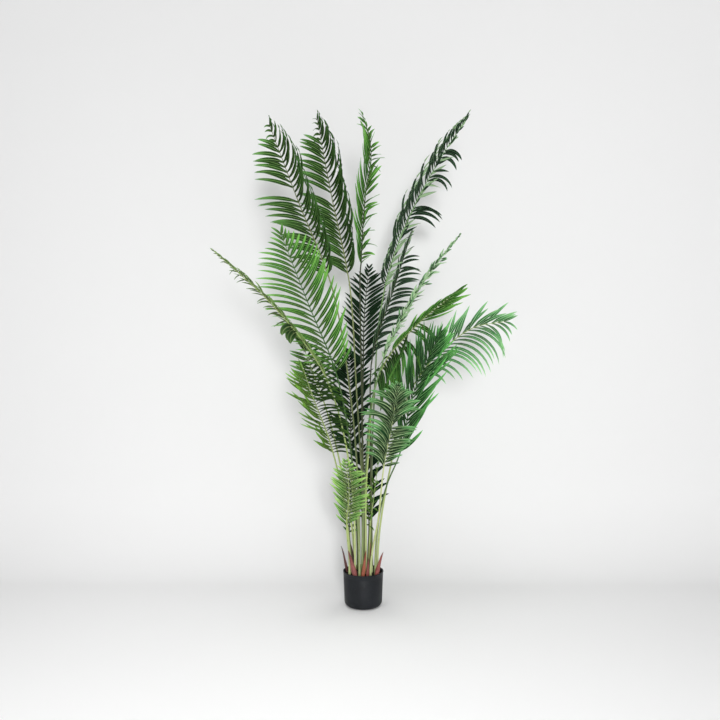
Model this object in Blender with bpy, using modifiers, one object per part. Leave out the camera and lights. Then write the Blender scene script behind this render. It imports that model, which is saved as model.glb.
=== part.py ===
"""Potted palm, 1.8 m tall: twenty feather-shaped fronds on slim stems, standing in a small plastic pot.

Run with  blender --background --python part.py  or from the text editor.
Metres, +Z up.  The origin is the centre of the pot's foot, on the surface that it stands on; -Y is the front.
"""
import math
from collections import namedtuple

import bmesh
import bpy
from mathutils import Vector
from mathutils.bvhtree import BVHTree
from mathutils.geometry import interpolate_bezier

# ---- overall sizes
PALM_HEIGHT = 1.80          # floor to the highest leaf tip
PALM_WIDTH = 1.05           # across the fronds, left to right

# ---- pot: a turned, tapered plastic pot with a rounded lower edge and a thin bead at the rim
POT_HEIGHT = 0.129
POT_RIM_RADIUS = 0.0735
POT_FOOT_RADIUS = 0.068
POT_FOOT_ROUND = 0.018      # radius of the rounded lower edge
POT_WALL = 0.0025
POT_BASE = 0.003
BEAD_HEIGHT = 0.004         # thin bead round the rim
BEAD_PROUD = 0.0008         # how far the bead stands out from the wall
SOIL_BELOW_RIM = 0.010
SOIL_DEPTH = 0.015          # soil spread over the cement weight
POT_SIDES = 48

# ---- stems and fronds
STEM_FOOT_RADIUS = 0.0045
STEM_NECK_RADIUS = 0.0026
STEM_PITCH = 0.11           # about this far between the places that shape a stem
STEM_UPRIGHT = 0.035        # each stem leaves the soil straight up for this far
RACHIS_RADIUS = 0.0026      # the midrib that the leaflets grow from, at its neck
RACHIS_TIP_RADIUS = 0.0012
RACHIS_BARE = 0.012         # bare midrib between the neck and the first leaflets
RACHIS_END = 0.93           # share of the route where the midrib becomes the last leaflet
LEAFLET_WIDTH = 0.015
LEAFLET_THICKNESS = 0.0011
LEAFLET_ROOT = 0.005        # length of midrib that a leaflet grows from
LEAFLET_WIDEST = 0.38       # share of a leaflet's length where it is widest

# ---- sheaths: pointed bracts round the stems' feet
SHEATH_THICKNESS = 0.003
SHEATH_BELLY = 0.004        # how far a bract bulges towards its broad side

CLEARANCE = 0.0003          # gap kept between pieces that touch
LEAF_CLEARANCE = 0.0008     # gap kept round each leaflet
NEAR_ROOT = 0.05            # where the space round a leaflet starts, between its root and its middle
OFF_ROOT = 0.30             # the same towards the leaflets beside it, which grow from the same midrib

# The places in the tables below are given for a palm of this size.
DRAWN_HEIGHT = 1.80
DRAWN_WIDTH = 1.05
DRAWN_SOIL = 0.119
DRAWN_SOIL_RADIUS = 0.0706

Frond = namedtuple("Frond", "name foot bend blade face length pairs sweep fold droop shade")
# foot   x, y where the stem leaves the soil
# bend   places that the stem passes through
# blade  neck, places along the midrib, and the tip of the last leaflet
# face   the way the upper side of the frond looks
# length of the longest leaflets;  pairs of leaflets
# sweep  angle between leaflet and midrib at the neck and at the tip, in degrees
# fold   how far the leaflets rise out of the frond's own plane, in degrees
# droop  sag of a leaflet's end, as a share of its length
FRONDS = (
    Frond("frond_01", (-0.014, 0.008), ((-0.045, 0.010, 0.760),),
          ((-0.125, 0.000, 1.205), (-0.230, -0.060, 1.470), (-0.325, -0.120, 1.725)),
          (-0.6, -0.8, 0.1), 0.130, 17, (62, 28), 28, 0.10, "deep"),
    Frond("frond_02", (0.006, 0.026), ((-0.025, 0.040, 0.790),),
          ((-0.055, 0.060, 1.210), (-0.115, 0.070, 1.500), (-0.170, 0.060, 1.790)),
          (-0.6, -0.8, 0.1), 0.120, 17, (58, 26), 28, 0.12, "deep"),
    Frond("frond_03", (0.003, 0.008), ((-0.006, 0.020, 0.810),),
          ((-0.010, -0.010, 1.240), (0.005, -0.030, 1.480), (0.025, -0.040, 1.675), (-0.005, -0.030, 1.785)),
          (0.9, -0.4, 0.1), 0.100, 16, (50, 25), 25, 0.12, "lime"),
    Frond("frond_04", (0.030, 0.036), ((0.040, 0.060, 0.735),),
          ((0.080, 0.100, 1.165), (0.180, 0.120, 1.450), (0.285, 0.100, 1.645), (0.385, 0.060, 1.800)),
          (-0.8, 0.2, 0.5), 0.130, 18, (48, 25), 30, 0.15, "dark"),
    Frond("frond_05", (0.032, 0.014), ((0.028, 0.045, 0.630),),
          ((0.035, 0.060, 0.920), (0.115, 0.130, 1.165), (0.190, 0.220, 1.395)),
          (0.3, -0.9, 0.3), 0.110, 14, (60, 28), 20, 0.25, "dark"),
    Frond("frond_06", (-0.004, -0.026), ((0.010, -0.035, 0.530), (0.035, -0.032, 0.780)),
          ((0.070, -0.030, 0.900), (0.175, -0.030, 1.120), (0.270, -0.030, 1.260), (0.350, -0.020, 1.360)),
          (-0.8, -0.2, 0.6), 0.110, 16, (45, 25), 30, 0.10, "mint"),
    Frond("frond_07", (-0.002, 0.050), ((-0.004, 0.085, 0.545),),
          ((0.000, 0.140, 0.860), (0.005, 0.240, 1.070), (0.025, 0.370, 1.265)),
          (0.0, -0.8, 0.6), 0.105, 14, (60, 30), 12, 0.15, "dark"),
    Frond("frond_08", (-0.014, -0.042), ((-0.040, -0.062, 0.540),),
          ((-0.095, -0.070, 0.855), (-0.195, -0.090, 1.110), (-0.290, -0.100, 1.355)),
          (0.1, -1.0, 0.2), 0.120, 18, (62, 30), 14, 0.15, "bright"),
    Frond("frond_09", (-0.030, -0.036), ((-0.050, -0.085, 0.535),),
          ((-0.125, -0.130, 0.835), (-0.300, -0.200, 1.090), (-0.505, -0.240, 1.285)),
          (0.5, -0.3, 0.8), 0.110, 17, (60, 28), 8, 0.35, "olive"),
    Frond("frond_10", (-0.048, -0.006), ((-0.060, -0.030, 0.315),),
          ((-0.120, -0.100, 0.625), (-0.170, -0.190, 0.780), (-0.205, -0.300, 0.910)),
          (-0.1, -0.9, 0.4), 0.105, 14, (62, 30), 12, 0.12, "lime"),
    Frond("frond_11", (0.010, -0.012), ((0.016, -0.010, 0.525),),
          ((0.080, 0.015, 0.895), (0.180, 0.015, 1.015), (0.355, 0.020, 1.165)),
          (-0.6, -0.3, 0.8), 0.130, 15, (55, 28), 10, 0.55, "lime"),
    Frond("frond_12", (0.052, -0.006), ((0.094, -0.018, 0.490),),
          ((0.195, -0.040, 0.840), (0.300, -0.060, 0.960), (0.395, -0.080, 1.025), (0.500, -0.100, 1.045)),
          (-0.2, -0.9, 0.5), 0.120, 16, (62, 30), 12, 0.30, "mint"),
    Frond("frond_13", (0.044, -0.026), ((0.080, -0.040, 0.440),),
          ((0.130, -0.065, 0.570), (0.175, -0.100, 0.785), (0.265, -0.140, 1.000)),
          (-0.5, -0.8, 0.2), 0.130, 15, (42, 24), 18, 0.12, "bright"),
    Frond("frond_14", (0.026, -0.038), ((0.052, -0.080, 0.325),),
          ((0.070, -0.140, 0.530), (0.095, -0.250, 0.700), (0.110, -0.360, 0.840)),
          (0.0, 0.8, 0.6), 0.100, 13, (60, 30), 12, 0.15, "deep"),
    Frond("frond_15", (-0.050, -0.026), (),
          ((-0.060, -0.060, 0.305), (-0.050, -0.150, 0.445), (-0.060, -0.260, 0.580)),
          (0.0, 0.7, 0.7), 0.080, 11, (60, 30), 10, 0.15, "pale"),
    Frond("frond_16", (-0.020, 0.044), ((-0.030, 0.080, 0.360),),
          ((-0.045, 0.130, 0.540), (-0.050, 0.260, 0.715), (-0.060, 0.420, 0.925)),
          (0.0, -0.8, 0.6), 0.105, 14, (60, 30), 12, 0.15, "dark"),
    Frond("frond_17", (0.022, -0.002), (),
          ((0.025, -0.010, 0.280), (0.040, 0.000, 0.405), (0.055, 0.020, 0.520)),
          (-0.9, -0.3, 0.2), 0.060, 9, (50, 28), 15, 0.12, "lime"),
    Frond("frond_18", (0.018, 0.050), (),
          ((0.022, 0.080, 0.285), (0.010, 0.150, 0.420), (-0.005, 0.240, 0.560)),
          (0.2, -0.8, 0.6), 0.085, 10, (58, 30), 12, 0.12, "dark"),
    Frond("frond_19", (-0.040, 0.022), (),
          ((-0.052, 0.045, 0.245), (-0.047, 0.090, 0.370), (-0.045, 0.160, 0.495)),
          (0.1, -0.8, 0.6), 0.075, 9, (58, 30), 12, 0.12, "dark"),
    Frond("frond_20", (-0.032, 0.006), ((-0.085, 0.000, 0.525),),
          ((-0.140, -0.020, 0.745), (-0.185, -0.040, 0.870), (-0.220, -0.060, 0.975)),
          (-0.1, -0.9, 0.4), 0.090, 11, (60, 30), 12, 0.15, "deep"),
)

Sheath = namedtuple("Sheath", "name foot lean width")
# foot   x, y on the soil;  lean   from the foot to the tip
SHEATHS = (
    Sheath("sheath_1", (-0.060, 0.010), (-0.013, 0.000, 0.099), 0.011),
    Sheath("sheath_2", (-0.030, -0.054), (-0.022, 0.002, 0.101), 0.020),
    Sheath("sheath_3", (-0.030, -0.016), (-0.010, 0.002, 0.113), 0.012),
    Sheath("sheath_4", (-0.002, -0.058), (0.012, 0.002, 0.103), 0.014),
    Sheath("sheath_5", (0.015, -0.052), (0.003, 0.002, 0.071), 0.013),
    Sheath("sheath_6", (0.026, -0.020), (-0.002, 0.002, 0.121), 0.009),
    Sheath("sheath_7", (0.048, -0.040), (0.018, -0.004, 0.093), 0.017),
)

# name: (base colour, roughness)
FINISHES = {
    "pot": ((0.030, 0.034, 0.038), 0.55),
    "cement": ((0.30, 0.29, 0.27), 0.90),
    "soil": ((0.020, 0.016, 0.011), 0.95),
    "stem": ((0.42, 0.50, 0.20), 0.45),
    "sheath": ((0.33, 0.09, 0.07), 0.45),
    "bright": ((0.10, 0.32, 0.07), 0.45),
    "deep": ((0.05, 0.19, 0.05), 0.45),
    "dark": ((0.02, 0.09, 0.03), 0.45),
    "lime": ((0.30, 0.48, 0.08), 0.45),
    "olive": ((0.24, 0.32, 0.09), 0.50),
    "mint": ((0.25, 0.50, 0.22), 0.45),
    "pale": ((0.42, 0.52, 0.20), 0.50),
}


def clear_scene():
    """Remove whatever the file holds."""
    for thing in list(bpy.data.objects):
        bpy.data.objects.remove(thing, do_unlink=True)


def make_finish(name):
    """A plain Principled material for one kind of surface."""
    colour, roughness = FINISHES[name]
    material = bpy.data.materials.new(name)
    material.use_nodes = True
    shader = material.node_tree.nodes["Principled BSDF"]
    shader.inputs["Base Color"].default_value = (*colour, 1.0)
    shader.inputs["Roughness"].default_value = roughness
    shader.inputs["Metallic"].default_value = 0.0
    return material


def soil_height():
    """Height of the soil's surface."""
    return POT_HEIGHT - SOIL_BELOW_RIM


def sized(place):
    """Move a place drawn on the nominal palm to the palm of the sizes above."""
    across = PALM_WIDTH / DRAWN_WIDTH
    up = (PALM_HEIGHT - soil_height()) / (DRAWN_HEIGHT - DRAWN_SOIL)
    x, y, z = place
    return Vector((x * across, y * across, soil_height() + (z - DRAWN_SOIL) * up))


def on_soil(foot, margin):
    """A place on the soil for a foot drawn on the nominal pot, kept inside the pot's wall."""
    room = inner_radius(soil_height())
    x, y = (part * room / DRAWN_SOIL_RADIUS for part in foot)
    reach = math.hypot(x, y)
    allowed = room - margin
    if reach > allowed:
        x, y = x * allowed / reach, y * allowed / reach
    return Vector((x, y, soil_height() + CLEARANCE))


# ---------------------------------------------------------------- pot and soil

def outer_radius(height):
    """Radius of the pot's outer wall at a height, from the straight taper."""
    return POT_FOOT_RADIUS + (POT_RIM_RADIUS - POT_FOOT_RADIUS) * height / POT_HEIGHT


def inner_radius(height):
    """Radius of the pot's inner wall at a height."""
    return outer_radius(height) - POT_WALL


def quarter_round(centre_x, centre_z, radius, steps=6):
    """Places along a quarter circle, from the side down to the bottom."""
    turns = [math.pi / 2 * step / steps for step in range(steps + 1)]
    return [(centre_x + radius * math.cos(turn), centre_z - radius * math.sin(turn)) for turn in turns]


def turned(name, profile, finish, collection):
    """A solid of revolution from a profile of (radius, height) that runs down its outer side."""
    mesh = bpy.data.meshes.new(name)
    build = bmesh.new()
    last = None
    for radius, height in profile:
        vert = build.verts.new((radius, 0.0, height))
        if last:
            build.edges.new((last, vert))
        last = vert
    build.to_mesh(mesh)
    build.free()
    thing = bpy.data.objects.new(name, mesh)
    collection.objects.link(thing)
    screw = thing.modifiers.new("Turn", "SCREW")
    screw.steps = POT_SIDES
    screw.render_steps = POT_SIDES
    screw.use_merge_vertices = True
    screw.merge_threshold = 0.00001
    screw.use_smooth_shade = True
    mesh.materials.append(finish)
    return thing


def make_pot(finish, collection):
    """Tapered pot: inner floor, inner wall, beaded rim, outer wall, rounded lower edge, flat foot."""
    bead_foot = POT_HEIGHT - BEAD_HEIGHT
    round_top = outer_radius(POT_FOOT_ROUND)
    inner_round = POT_FOOT_ROUND - POT_WALL
    inner_bend = quarter_round(round_top - POT_FOOT_ROUND, POT_BASE + inner_round, inner_round, 4)
    outer_bend = quarter_round(round_top - POT_FOOT_ROUND, POT_FOOT_ROUND, POT_FOOT_ROUND)
    profile = [(0.0, POT_BASE)]
    profile += reversed(inner_bend)
    profile += [(inner_radius(POT_HEIGHT), POT_HEIGHT - BEAD_PROUD)]
    profile += [(inner_radius(POT_HEIGHT) + BEAD_PROUD, POT_HEIGHT)]
    profile += [(POT_RIM_RADIUS, POT_HEIGHT), (POT_RIM_RADIUS + BEAD_PROUD, POT_HEIGHT - BEAD_PROUD)]
    profile += [(outer_radius(bead_foot) + BEAD_PROUD, bead_foot)]
    profile += [(outer_radius(bead_foot), bead_foot - BEAD_PROUD)]
    profile += outer_bend
    profile += [(0.0, 0.0)]
    return turned("pot", profile, finish, collection)


def make_weight(finish, collection):
    """Cement that fills the pot below the soil and keeps the palm upright."""
    top = soil_height() - SOIL_DEPTH
    inner_round = POT_FOOT_ROUND - POT_WALL
    bend_centre = outer_radius(POT_FOOT_ROUND) - POT_FOOT_ROUND
    bend = quarter_round(bend_centre, POT_BASE + inner_round, inner_round - CLEARANCE, 4)
    profile = [(0.0, top), (inner_radius(top) - CLEARANCE, top)]
    profile += bend
    profile += [(0.0, POT_BASE + CLEARANCE)]
    return turned("cement_weight", profile, finish, collection)


def make_soil(finish, collection):
    """A layer of soil that covers the cement to just below the rim."""
    top = soil_height()
    bottom = top - SOIL_DEPTH + CLEARANCE
    profile = [(0.0, top)]
    profile += [(inner_radius(height) - CLEARANCE, height) for height in (top, bottom)]
    profile += [(0.0, bottom)]
    return turned("soil_cover", profile, finish, collection)


# ---------------------------------------------------------------- routes

def smooth_route(places, per_span=14):
    """Points along one smooth curve through the given places."""
    chords = [(after - before).length for before, after in zip(places, places[1:])]
    steps = [(after - before) / chord for before, after, chord in zip(places, places[1:], chords)]
    slopes = [steps[0]]
    for index in range(1, len(steps)):
        weight = chords[index] + chords[index - 1]
        slopes.append((steps[index - 1] * chords[index] + steps[index] * chords[index - 1]) / weight)
    slopes.append(steps[-1])
    points = [places[0]]
    for index, chord in enumerate(chords):
        first = places[index] + slopes[index] * chord / 3
        second = places[index + 1] - slopes[index + 1] * chord / 3
        points += interpolate_bezier(places[index], first, second, places[index + 1], per_span)[1:]
    return points


class Route:
    """A smooth curve that can be read at a distance along it."""

    def __init__(self, places):
        self.points = smooth_route(places)
        self.marks = [0.0]
        for before, after in zip(self.points, self.points[1:]):
            self.marks.append(self.marks[-1] + (after - before).length)
        self.length = self.marks[-1]

    def _span(self, distance):
        index = 0
        while index < len(self.marks) - 2 and self.marks[index + 1] < distance:
            index += 1
        share = (distance - self.marks[index]) / (self.marks[index + 1] - self.marks[index])
        return index, share

    def at(self, distance):
        """The place at a distance along the curve."""
        index, share = self._span(distance)
        return self.points[index].lerp(self.points[index + 1], share)

    def heading(self, distance):
        """The direction of the curve at a distance along it."""
        reach = self.length / 60
        start = max(distance - reach, 0.0)
        end = min(distance + reach, self.length)
        return (self.at(end) - self.at(start)).normalized()


def frond_route(frond):
    """The whole route of a frond, from its foot to its tip, and the distance of its neck."""
    foot = on_soil(frond.foot, STEM_FOOT_RADIUS + CLEARANCE)
    start = [foot, foot + Vector((0.0, 0.0, STEM_UPRIGHT))]
    places = start + [sized(place) for place in frond.bend + frond.blade]
    route = Route(places)
    neck = sized(frond.blade[0])
    nearest = min(range(len(route.points)), key=lambda index: (route.points[index] - neck).length)
    return route, route.marks[nearest]


# ---------------------------------------------------------------- pieces that grow face by face

def mesh_object(name, build, finish, collection):
    """Turn a finished bmesh into a named object."""
    mesh = bpy.data.meshes.new(name)
    build.to_mesh(mesh)
    build.free()
    mesh.materials.append(finish)
    thing = bpy.data.objects.new(name, mesh)
    collection.objects.link(thing)
    return thing


def ring(centre, side, up, half_width, half_depth):
    """Four corners round a centre: side, up, other side, down."""
    return [centre + side * half_width, centre + up * half_depth,
            centre - side * half_width, centre - up * half_depth]


def start_rod(first, second):
    """A bmesh cube whose bottom takes the first ring and whose top takes the second; also its top face."""
    build = bmesh.new()
    bmesh.ops.create_cube(build, size=1.0)
    build.normal_update()
    top = next(face for face in build.faces if face.normal.z > 0.9)
    upper = [loop.vert for loop in top.loops]
    lower = []
    for vert in upper:
        ends = [edge.other_vert(vert) for edge in vert.link_edges]
        lower.append(next(end for end in ends if end not in upper))
    for vert, corner in zip(lower + upper, first + second):
        vert.co = corner
    return build, top, [lower, upper]


def extend(build, face, corners):
    """Extrude one face and put its corners at the given places, in loop order."""
    grown = bmesh.ops.extrude_discrete_faces(build, faces=[face])["faces"][0]
    for loop, corner in zip(grown.loops, corners):
        loop.vert.co = corner
    return grown


def close_to_point(build, face, tip):
    """Close a face to a point."""
    centre = bmesh.ops.poke(build, faces=[face])["verts"][0]
    centre.co = tip


# ---------------------------------------------------------------- clear space

class Crowd:
    """The surfaces placed so far, to test whether a new one would touch them."""

    def __init__(self):
        self.members = []

    def add(self, points, faces, owner):
        """Keep a closed surface."""
        low = Vector(min(point[axis] for point in points) for axis in range(3))
        high = Vector(max(point[axis] for point in points) for axis in range(3))
        self.members.append((BVHTree.FromPolygons(points, faces), low, high, owner))

    def touches(self, points, faces, counts):
        """Whether a surface crosses any kept one whose owner counts."""
        low = Vector(min(point[axis] for point in points) for axis in range(3))
        high = Vector(max(point[axis] for point in points) for axis in range(3))
        tree = None
        for other, other_low, other_high, owner in self.members:
            apart = any(low[axis] > other_high[axis] or high[axis] < other_low[axis] for axis in range(3))
            if apart or not counts(owner):
                continue
            tree = tree or BVHTree.FromPolygons(points, faces)
            if tree.overlap(other):
                return True
        return False

    def add_object(self, thing):
        """Keep an object's evaluated surface."""
        evaluated = thing.evaluated_get(bpy.context.evaluated_depsgraph_get())
        mesh = evaluated.to_mesh()
        points = [thing.matrix_world @ vert.co for vert in mesh.vertices]
        self.add(points, [tuple(face.vertices) for face in mesh.polygons], thing.name)
        evaluated.to_mesh_clear()


# ---------------------------------------------------------------- stems and sheaths

def make_stem(name, route, neck, finish, collection):
    """A round stem from the soil to the neck, thinner towards its top."""
    curve = bpy.data.curves.new(name, "CURVE")
    curve.dimensions = "3D"
    curve.bevel_depth = STEM_FOOT_RADIUS
    curve.bevel_resolution = 1
    curve.use_fill_caps = True
    spline = curve.splines.new("POLY")
    distances = [0.0, STEM_UPRIGHT / 2]
    top = neck - CLEARANCE
    spans = max(3, round(top / STEM_PITCH))
    for step in range(1, spans + 1):
        distances.append(STEM_UPRIGHT / 2 + (top - STEM_UPRIGHT / 2) * step / spans)
    spline.points.add(len(distances) - 1)
    for point, distance in zip(spline.points, distances):
        point.co = (*route.at(distance), 1.0)
        share = distance / top
        point.radius = 1.0 + (STEM_NECK_RADIUS / STEM_FOOT_RADIUS - 1.0) * share ** 0.7
    curve.materials.append(finish)
    thing = bpy.data.objects.new(name, curve)
    collection.objects.link(thing)
    return thing


def make_sheath(sheath, finish, collection):
    """A pointed bract: a flat, slightly bellied rod that closes to a point, its broad side to the front."""
    foot = on_soil(sheath.foot, sheath.width / 2 + CLEARANCE)
    lean = Vector(sheath.lean)
    heading = lean.normalized()
    front = Vector((6.0 * foot.x, -1.0, 0.0))
    up = (front - heading * front.dot(heading)).normalized()
    side = up.cross(heading)
    rings = []
    for share, width in ((0.0, 0.80), (0.22, 1.0), (0.5, 0.86), (0.78, 0.45)):
        centre = foot + lean * share + up * SHEATH_BELLY * math.sin(math.pi * share)
        thickness = SHEATH_THICKNESS * (1.0 - share / 2)
        rings.append(ring(centre, side, up, sheath.width * width / 2, thickness / 2))
    for corner in rings[0]:
        corner.z = foot.z
    build, face, _ = start_rod(rings[0], rings[1])
    for corners in rings[2:]:
        face = extend(build, face, corners)
    close_to_point(build, face, foot + lean)
    return mesh_object(sheath.name, build, finish, collection)


# ---------------------------------------------------------------- fronds

def leaflet_length(share):
    """Length of the leaflets along the midrib, as a share of the longest, from neck (0) to tip (1)."""
    return 0.42 + 0.58 * math.sin(math.pi * (0.14 + 0.80 * share)) ** 1.2


def frond_axes(frond, route, distance):
    """Heading, side and upper direction of a frond at a distance along its route."""
    heading = route.heading(distance)
    face = Vector(frond.face)
    up = (face - heading * face.dot(heading)).normalized()
    side = up.cross(heading)
    return heading, side, up


def leaflet_frame(frond, axes, side_sign, share, length, turn, lift):
    """Middle and tip of a leaflet relative to its root, and the directions across and through its blade."""
    heading, side, up = axes
    fold = math.radians(frond.fold + lift)
    sweep = math.radians(frond.sweep[0] + (frond.sweep[1] - frond.sweep[0]) * share + turn)
    outward = side * side_sign * math.cos(fold) + up * math.sin(fold)
    along = (heading * math.cos(sweep) + outward * math.sin(sweep)).normalized()
    sag = Vector((0.0, 0.0, -1.0)) * frond.droop * length
    middle = along * length * LEAFLET_WIDEST + sag * LEAFLET_WIDEST ** 2
    tip = along * length * math.sqrt(max(0.2, 1.0 - frond.droop ** 2)) + sag
    across = (heading - along * heading.dot(along)).normalized()
    through = across.cross(along) * side_sign
    return middle, tip, across, through


def leaflet_surface(start, root, blade_width, middle, tip, across, through):
    """A swollen copy of a leaflet, from a share of the way to its middle, to test the space round it."""
    points = []
    for centre, width, thickness in ((middle * start, LEAFLET_ROOT, LEAFLET_THICKNESS),
                                     (middle, blade_width, LEAFLET_THICKNESS)):
        reach = across * (width / 2 + LEAF_CLEARANCE)
        rise = through * (thickness / 2 + LEAF_CLEARANCE)
        for a, b in ((-1, -1), (1, -1), (1, 1), (-1, 1)):
            points.append(root + centre + reach * a + rise * b)
    points.append(root + tip + tip.normalized() * LEAF_CLEARANCE)
    faces = [(0, 1, 2, 3)]
    faces += [(i, (i + 1) % 4, 4 + (i + 1) % 4, 4 + i) for i in range(4)]
    faces += [(4 + i, 4 + (i + 1) % 4, 8) for i in range(4)]
    return points, faces


# ways to turn a leaflet that has no room: extra sweep, extra lift, share of its length
TURNS = [(turn, lift, share)
         for share in (1.0, 0.85, 0.7, 0.5)
         for turn, lift in ((0, 0), (-7, 0), (7, 0), (0, 12), (0, -12), (-12, 10), (12, -10), (-12, -14),
                            (12, 16), (0, 26), (0, -26), (-20, 0))]


def grow_leaflet(build, frond, rings, station, side_sign, axes, share, pitch, crowd):
    """Grow one leaflet from the upper side face between two rings of the midrib, where it has room."""
    edge = 0 if side_sign > 0 else 2
    low_back, low_front = rings[station][edge], rings[station + 1][edge]
    top_back, top_front = rings[station][1], rings[station + 1][1]
    face = build.faces.get((low_back, low_front, top_front, top_back))
    root = face.calc_center_median()
    longest = frond.length * leaflet_length(share)
    sweep = math.radians(frond.sweep[0] + (frond.sweep[1] - frond.sweep[0]) * share)
    width = min(LEAFLET_WIDTH * (1.0 - 0.3 * share), 0.8 * pitch * math.sin(sweep))
    for turn, lift, part in TURNS:
        frame = leaflet_frame(frond, axes, side_sign, share, longest * part, turn, lift)
        points, faces = leaflet_surface(NEAR_ROOT, root, width, *frame)
        outer = leaflet_surface(OFF_ROOT, root, width, *frame)
        strangers = crowd.touches(points, faces, lambda owner: not owner.endswith(frond.name))
        if not strangers and not crowd.touches(*outer, lambda owner: owner == frond.name):
            break
    else:
        return False
    middle, tip, across, through = frame
    places = {}
    for vert, forward, rise in ((low_back, -1, -1), (low_front, 1, -1), (top_front, 1, 1), (top_back, -1, 1)):
        places[vert] = (root + middle + across * forward * width / 2
                        + through * rise * LEAFLET_THICKNESS / 2)
    corners = [places[loop.vert] for loop in face.loops]
    blade = extend(build, face, corners)
    close_to_point(build, blade, root + tip)
    crowd.add(*outer, frond.name)
    crowd.add(points, faces, "root of " + frond.name)
    return True


def start_midrib(frond, route, neck):
    """The midrib of a frond, from its neck to the last leaflet's tip, with rings for its leaflets."""
    start = neck + CLEARANCE
    end = neck + (route.length - neck) * RACHIS_END
    first = start + RACHIS_BARE
    pitch = (end - first - LEAFLET_ROOT) / (frond.pairs - 1)
    stations = [first + pitch * pair for pair in range(frond.pairs)]
    distances = [start]
    for station in stations:
        distances += [station, station + LEAFLET_ROOT]
    rings = []
    for distance in distances:
        share = (distance - start) / (end - start)
        radius = RACHIS_RADIUS + (RACHIS_TIP_RADIUS - RACHIS_RADIUS) * share
        _, side, up = frond_axes(frond, route, distance)
        rings.append(ring(route.at(distance), side, up, radius, radius))
    build, face, kept = start_rod(rings[0], rings[1])
    for corners in rings[2:]:
        face = extend(build, face, corners)
        kept.append([loop.vert for loop in face.loops])
    close_to_point(build, face, route.at(route.length))
    return build, kept, stations


def make_frond(frond, route, neck, midrib, crowd, finish, collection):
    """A feather-shaped frond: a midrib with leaflets down both sides, one closed mesh."""
    build, rings, stations = midrib
    missing = 0
    pitch = stations[1] - stations[0]
    for pair, station in enumerate(stations):
        share = pair / (len(stations) - 1)
        axes = frond_axes(frond, route, station + LEAFLET_ROOT / 2)
        for side_sign in (1, -1):
            grown = grow_leaflet(build, frond, rings, 1 + 2 * pair, side_sign, axes, share, pitch, crowd)
            missing += not grown
    if missing:
        print(frond.name, "has no room for", missing, "leaflets")
    return mesh_object(frond.name, build, finish, collection)


def midrib_surface(build):
    """The points and faces of a bmesh."""
    build.verts.index_update()
    points = [vert.co.copy() for vert in build.verts]
    return points, [tuple(vert.index for vert in face.verts) for face in build.faces]


def main():
    clear_scene()
    collection = bpy.data.collections.new("potted_palm")
    bpy.context.scene.collection.children.link(collection)
    finishes = {name: make_finish(name) for name in FINISHES}
    make_pot(finishes["pot"], collection)
    make_weight(finishes["cement"], collection)
    make_soil(finishes["soil"], collection)
    crowd = Crowd()
    grown = []
    for frond in FRONDS:
        route, neck = frond_route(frond)
        stem = make_stem(frond.name.replace("frond", "stem"), route, neck, finishes["stem"], collection)
        grown.append((frond, route, neck, stem))
    sheaths = [make_sheath(sheath, finishes["sheath"], collection) for sheath in SHEATHS]
    bpy.context.view_layer.update()
    for thing in [stem for _, _, _, stem in grown] + sheaths:
        crowd.add_object(thing)
    midribs = {}
    for frond, route, neck, _ in grown:
        midrib = start_midrib(frond, route, neck)
        midribs[frond.name] = midrib
        crowd.add(*midrib_surface(midrib[0]), "midrib of " + frond.name)
    for frond, route, neck, _ in grown:
        make_frond(frond, route, neck, midribs[frond.name], crowd, finishes[frond.shade], collection)


if __name__ == "__main__":
    main()
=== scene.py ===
"""Potted palm: the looks of every piece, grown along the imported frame.

The frame's coarse stems and fronds say where each stem runs and where each leaflet starts, bends and ends.
This script reads those places and grows fine stems, midribs and leaflets along them, then the sheaths at
the stems' feet, the soil with its clods and a cut stub, and the pot.  Metres, +Z up, -Y to the front.
"""
import math
import random
from collections import namedtuple

import bmesh
import bpy
from bpy.props import FloatProperty, FloatVectorProperty, IntProperty, PointerProperty
from mathutils import Matrix, Vector, noise
from mathutils.geometry import interpolate_bezier


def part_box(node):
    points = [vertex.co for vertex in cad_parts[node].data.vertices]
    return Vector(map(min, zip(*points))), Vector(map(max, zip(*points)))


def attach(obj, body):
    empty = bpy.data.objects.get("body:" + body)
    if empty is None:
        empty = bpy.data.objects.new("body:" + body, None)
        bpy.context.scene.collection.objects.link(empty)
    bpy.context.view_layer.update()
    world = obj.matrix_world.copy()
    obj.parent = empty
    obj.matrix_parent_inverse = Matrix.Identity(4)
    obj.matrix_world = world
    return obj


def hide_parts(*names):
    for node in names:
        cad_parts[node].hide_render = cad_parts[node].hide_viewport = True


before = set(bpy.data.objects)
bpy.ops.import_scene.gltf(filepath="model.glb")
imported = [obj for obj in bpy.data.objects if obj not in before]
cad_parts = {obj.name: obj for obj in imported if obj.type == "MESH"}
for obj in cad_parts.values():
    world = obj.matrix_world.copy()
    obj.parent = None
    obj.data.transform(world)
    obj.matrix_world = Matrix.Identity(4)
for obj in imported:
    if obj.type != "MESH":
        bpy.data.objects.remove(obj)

bl_info = {
    "name": "Potted Palm",
    "version": (1, 0, 0),
    "blender": (4, 5, 0),
    "location": "View3D > Sidebar > Palm",
    "description": "Grows a potted palm along its frame: fronds, stems, sheaths, soil and pot",
    "category": "Object",
}

MM = 0.001
UP = Vector((0.0, 0.0, 1.0))


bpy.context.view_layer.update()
POT_LOW, POT_HIGH = (Vector(corner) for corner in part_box("pot"))
SOIL_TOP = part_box("soil_cover")[1][2]
SOIL_RADIUS = (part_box("soil_cover")[1][0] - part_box("soil_cover")[0][0]) / 2
RIM_RADIUS = (POT_HIGH.x - POT_LOW.x) / 2
POT_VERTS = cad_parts["pot"].data.vertices
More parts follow.
